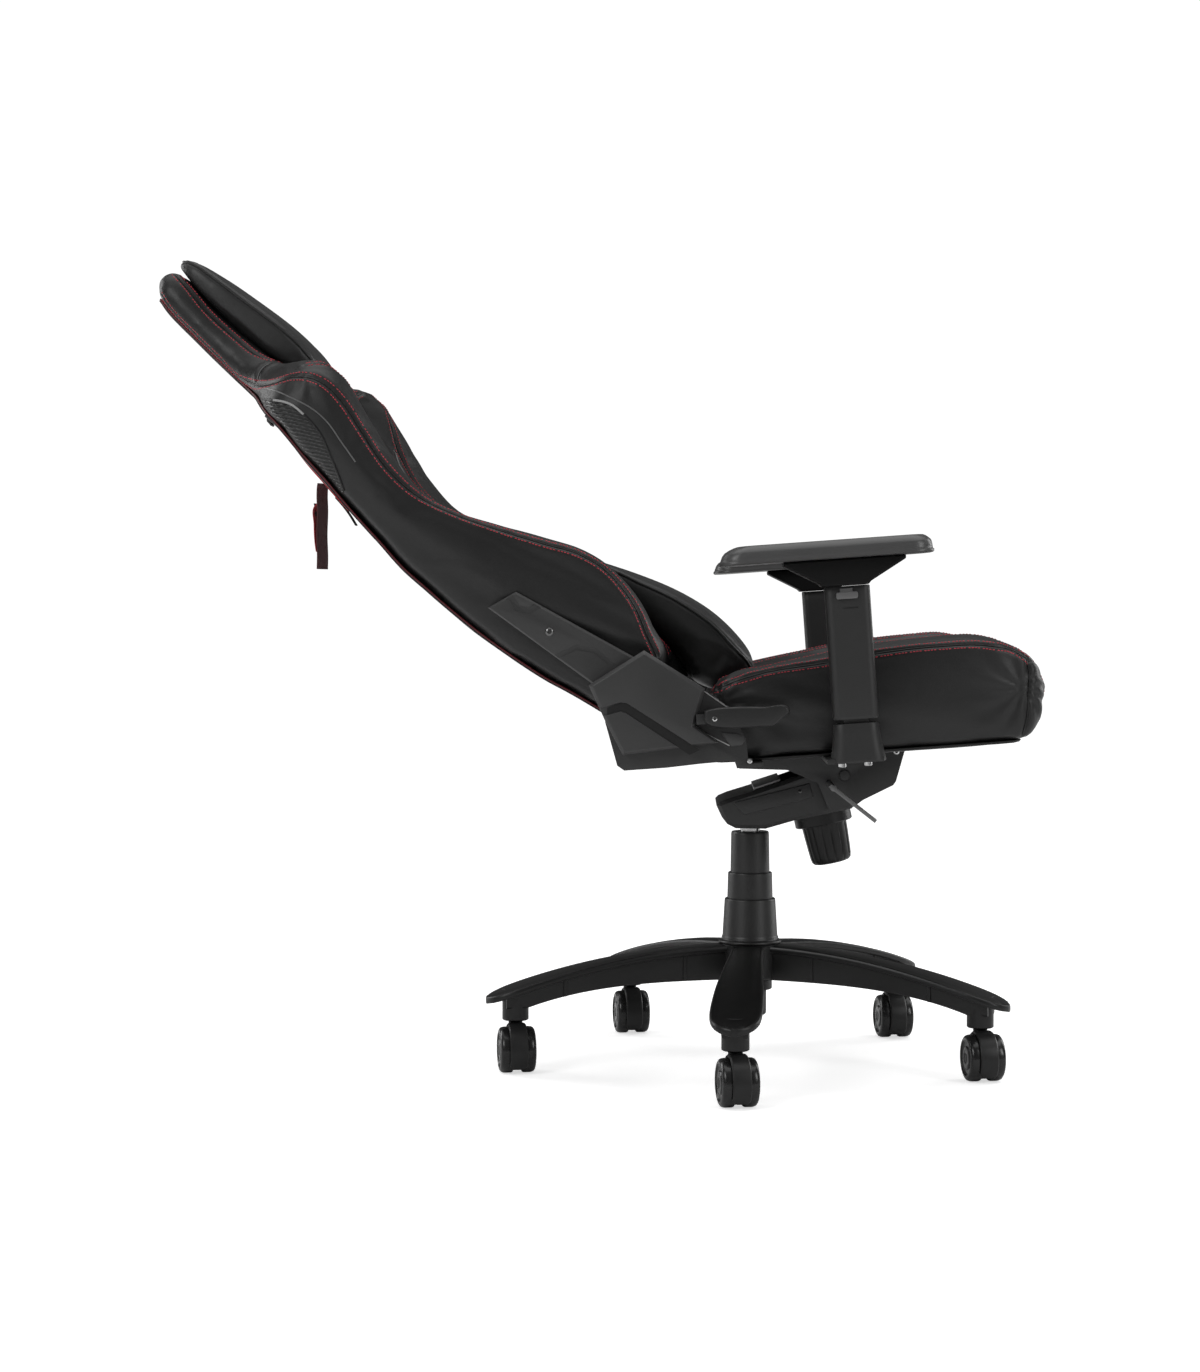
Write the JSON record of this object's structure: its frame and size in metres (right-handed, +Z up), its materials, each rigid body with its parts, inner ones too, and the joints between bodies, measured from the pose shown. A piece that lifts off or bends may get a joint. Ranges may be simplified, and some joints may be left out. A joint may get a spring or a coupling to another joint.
{
  "type": "gaming chair",
  "caption": "Reclining bucket-style gaming chair on a five-star caster base, with adjustable armrests, head pillow and lumbar pillow.",
  "frame": {"origin": "on the floor, under the middle of the chair's bounding box, back reclined as modelled", "axes": "+X the way the sitter faces, +Y to the sitter's left, +Z up"},
  "size_m": [1.113, 0.7083, 1.0429],
  "materials": {
    "base_nylon": "satin black glass-filled nylon with a fine moulded grain and polished edges",
    "black_steel": "satin black powder coat",
    "cover_plastic": "fine-grained black moulded plastic",
    "bright_steel": "bright plated steel",
    "lever_steel": "grey satin steel bar",
    "caster_hood": "grey satin ribbed nylon",
    "caster_wheel": "glossy black polyurethane-covered wheel",
    "knob_plastic": "fluted dark plastic",
    "leatherette": "black satin polyurethane leatherette over foam, red double stitching",
    "back_panel": "black leatherette rear panel with a red piping edge",
    "base_cloth": "thin black woven underside cloth",
    "trim_plastic": "dark grey satin plastic with fine grain",
    "arm_plastic": "black satin plastic",
    "arm_base": "black painted bracket with a flared cover",
    "arm_pad": "soft black polyurethane with a fine grain",
    "red_webbing": "woven red strap"
  },
  "bodies": {
    "base": {"star_base": "base_nylon", "column_tube": "black_steel", "cover_lower": "cover_plastic"},
    "caster_1_fork": {"caster_1_hood": "caster_hood"},
    "caster_1_wheels": {"caster_1_wheel_a": "caster_wheel", "caster_1_wheel_b": "caster_wheel"},
    "caster_2_fork": {"caster_2_hood": "caster_hood"},
    "caster_2_wheels": {"caster_2_wheel_a": "caster_wheel", "caster_2_wheel_b": "caster_wheel"},
    "caster_3_fork": {"caster_3_hood": "caster_hood"},
    "caster_3_wheels": {"caster_3_wheel_a": "caster_wheel", "caster_3_wheel_b": "caster_wheel"},
    "caster_4_fork": {"caster_4_hood": "caster_hood"},
    "caster_4_wheels": {"caster_4_wheel_a": "caster_wheel", "caster_4_wheel_b": "caster_wheel"},
    "caster_5_fork": {"caster_5_hood": "caster_hood"},
    "caster_5_wheels": {"caster_5_wheel_a": "caster_wheel", "caster_5_wheel_b": "caster_wheel"},
    "gas_cover": {"cover_middle": "cover_plastic"},
    "lift": {"gas_cylinder": "bright_steel", "cover_upper": "cover_plastic"},
    "swivel": {"tilt_housing": "cover_plastic", "tilt_shaft": "bright_steel", "tilt_spring": "bright_steel"},
    "knob": {"tension_knob": "knob_plastic"},
    "seat": {"seat_plate": "black_steel", "seat_frame": "black_steel", "seat_cushion": "leatherette", "seat_base_cover": "base_cloth", "cross_rod": "bright_steel", "side_bracket_right": "black_steel", "recliner_cover_right": "trim_plastic", "arm_bracket_right": "arm_base", "arm_post_right": "bright_steel", "side_bracket_left": "black_steel", "recliner_cover_left": "trim_plastic", "arm_bracket_left": "arm_base", "arm_post_left": "bright_steel"},
    "height_handle": {"height_lever": "lever_steel"},
    "tilt_lock_handle": {"tilt_lock_lever": "lever_steel"},
    "recline_handle": {"recline_lever": "trim_plastic"},
    "back": {"back_frame": "black_steel", "back_cushion": "leatherette", "back_rear_cover": "back_panel", "head_pillow": "leatherette", "back_arm_right": "trim_plastic", "back_arm_left": "trim_plastic", "rear_strap": "red_webbing", "strap_buckle": "trim_plastic"},
    "lumbar": {"lumbar_pillow": "leatherette"},
    "strap_end": {"strap_tail": "red_webbing"},
    "arm_right_height": {"arm_sleeve_right": "arm_plastic"},
    "arm_right_key": {"arm_button_right": "arm_plastic"},
    "arm_right_swivel": {"arm_carrier_right": "arm_plastic"},
    "arm_right_top": {"arm_pad_right": "arm_pad"},
    "arm_left_height": {"arm_sleeve_left": "arm_plastic"},
    "arm_left_key": {"arm_button_left": "arm_plastic"},
    "arm_left_swivel": {"arm_carrier_left": "arm_plastic"},
    "arm_left_top": {"arm_pad_left": "arm_pad"}
  },
  "joints": [
    {"name": "caster_1_swivel", "type": "hinge", "parent": "base", "child": "caster_1_fork", "pos_m": [0.17725, -0.31102, 0.08], "axis": [0, 0, 1], "continuous": true},
    {"name": "caster_1_roll", "type": "hinge", "parent": "caster_1_fork", "child": "caster_1_wheels", "pos_m": [0.17944, -0.32282, 0.0295], "axis": [0.9833, 0.1822, 0], "continuous": true},
    {"name": "caster_2_swivel", "type": "hinge", "parent": "base", "child": "caster_2_fork", "pos_m": [-0.10144, -0.07257, 0.08], "axis": [0, 0, 1], "continuous": true},
    {"name": "caster_2_roll", "type": "hinge", "parent": "caster_2_fork", "child": "caster_2_wheels", "pos_m": [-0.09926, -0.08437, 0.0295], "axis": [0.9833, 0.1822, 0], "continuous": true},
    {"name": "caster_3_swivel", "type": "hinge", "parent": "base", "child": "caster_3_fork", "pos_m": [0.03921, 0.26617, 0.08], "axis": [0, 0, 1], "continuous": true},
    {"name": "caster_3_roll", "type": "hinge", "parent": "caster_3_fork", "child": "caster_3_wheels", "pos_m": [0.0414, 0.25437, 0.0295], "axis": [0.9833, 0.1822, 0], "continuous": true},
    {"name": "caster_4_swivel", "type": "hinge", "parent": "base", "child": "caster_4_fork", "pos_m": [0.40484, 0.23707, 0.08], "axis": [0, 0, 1], "continuous": true},
    {"name": "caster_4_roll", "type": "hinge", "parent": "caster_4_fork", "child": "caster_4_wheels", "pos_m": [0.40702, 0.22527, 0.0295], "axis": [0.9833, 0.1822, 0], "continuous": true},
    {"name": "caster_5_swivel", "type": "hinge", "parent": "base", "child": "caster_5_fork", "pos_m": [0.49015, -0.11965, 0.08], "axis": [0, 0, 1], "continuous": true},
    {"name": "caster_5_roll", "type": "hinge", "parent": "caster_5_fork", "child": "caster_5_wheels", "pos_m": [0.49233, -0.13145, 0.0295], "axis": [0.9833, 0.1822, 0], "continuous": true},
    {"name": "seat_lift", "type": "slide", "parent": "base", "child": "lift", "axis": [0, 0, 1], "range_m": [-0.07, 0]},
    {"name": "cover_slide", "type": "slide", "parent": "base", "child": "gas_cover", "axis": [0, 0, 1], "range_m": [-0.036, 0]},
    {"name": "seat_swivel", "type": "hinge", "parent": "lift", "child": "swivel", "pos_m": [0.202, 0, 0.33], "axis": [0, 0, 1], "continuous": true},
    {"name": "tension_knob_turn", "type": "hinge", "parent": "swivel", "child": "knob", "pos_m": [0.295, 0, 0.3315], "axis": [-0.2079, 0, 0.9781], "continuous": true},
    {"name": "seat_tilt", "type": "hinge", "parent": "swivel", "child": "seat", "pos_m": [0.32, 0, 0.383], "axis": [0, -1, 0], "range_deg": [0, 10], "stiffness_Nm_per_rad": 300, "springref_deg": -28.65},
    {"name": "height_lever_lift", "type": "hinge", "parent": "seat", "child": "height_handle", "pos_m": [0.30068, -0.095, 0.37263], "axis": [0, -1, 0], "range_deg": [0, 12], "stiffness_Nm_per_rad": 1.5, "springref_deg": -14.32},
    {"name": "tilt_lock_turn", "type": "hinge", "parent": "seat", "child": "tilt_lock_handle", "pos_m": [0.30068, 0.095, 0.37263], "axis": [0, -1, 0], "range_deg": [0, 12]},
    {"name": "recline_lever_lift", "type": "hinge", "parent": "seat", "child": "recline_handle", "pos_m": [0.15301, -0.285, 0.46305], "axis": [0, -1, 0], "range_deg": [0, 20], "stiffness_Nm_per_rad": 1.5, "springref_deg": -14.32},
    {"name": "recline", "type": "hinge", "parent": "seat", "child": "back", "pos_m": [0.08382, 0, 0.47775], "axis": [0, 1, 0], "range_deg": [-20, 42]},
    {"name": "lumbar_slide", "type": "slide", "parent": "back", "child": "lumbar", "axis": [-0.7547, 0, 0.6561], "range_m": [-0.046, 0.096]},
    {"name": "strap_end_swing", "type": "hinge", "parent": "back", "child": "strap_end", "pos_m": [-0.3395, -0.1375, 0.752], "axis": [0, 1, 0], "range_deg": [-36, 18]},
    {"name": "arm_right_lift", "type": "slide", "parent": "seat", "child": "arm_right_height", "axis": [-0.0698, 0, 0.9976], "range_m": [0, 0.08]},
    {"name": "arm_right_button", "type": "slide", "parent": "arm_right_height", "child": "arm_right_key", "axis": [-0.0698, 0, 0.9976], "range_m": [0, 0.004], "stiffness_N_per_m": 500, "springref_m": -0.004},
    {"name": "arm_right_turn", "type": "hinge", "parent": "arm_right_height", "child": "arm_right_swivel", "pos_m": [0.30924, -0.303, 0.62283], "axis": [-0.0698, 0, 0.9976], "range_deg": [-20, 20]},
    {"name": "arm_right_slide", "type": "slide", "parent": "arm_right_swivel", "child": "arm_right_top", "axis": [0.9976, 0, 0.0698], "range_m": [-0.025, 0.025]},
    {"name": "arm_left_lift", "type": "slide", "parent": "seat", "child": "arm_left_height", "axis": [-0.0698, 0, 0.9976], "range_m": [0, 0.08]},
    {"name": "arm_left_button", "type": "slide", "parent": "arm_left_height", "child": "arm_left_key", "axis": [-0.0698, 0, 0.9976], "range_m": [0, 0.004], "stiffness_N_per_m": 500, "springref_m": -0.004},
    {"name": "arm_left_turn", "type": "hinge", "parent": "arm_left_height", "child": "arm_left_swivel", "pos_m": [0.30924, 0.303, 0.62283], "axis": [-0.0698, 0, 0.9976], "range_deg": [-20, 20]},
    {"name": "arm_left_slide", "type": "slide", "parent": "arm_left_swivel", "child": "arm_left_top", "axis": [0.9976, 0, 0.0698], "range_m": [-0.025, 0.025]}
  ],
  "couplings": [
    {"joint": "cover_slide", "follows": "seat_lift", "ratio": 0.5},
    {"joint": "lumbar_slide", "follows": "recline", "m_per_rad": 0.13},
    {"joint": "strap_end_swing", "follows": "recline", "ratio": -0.85}
  ]
}
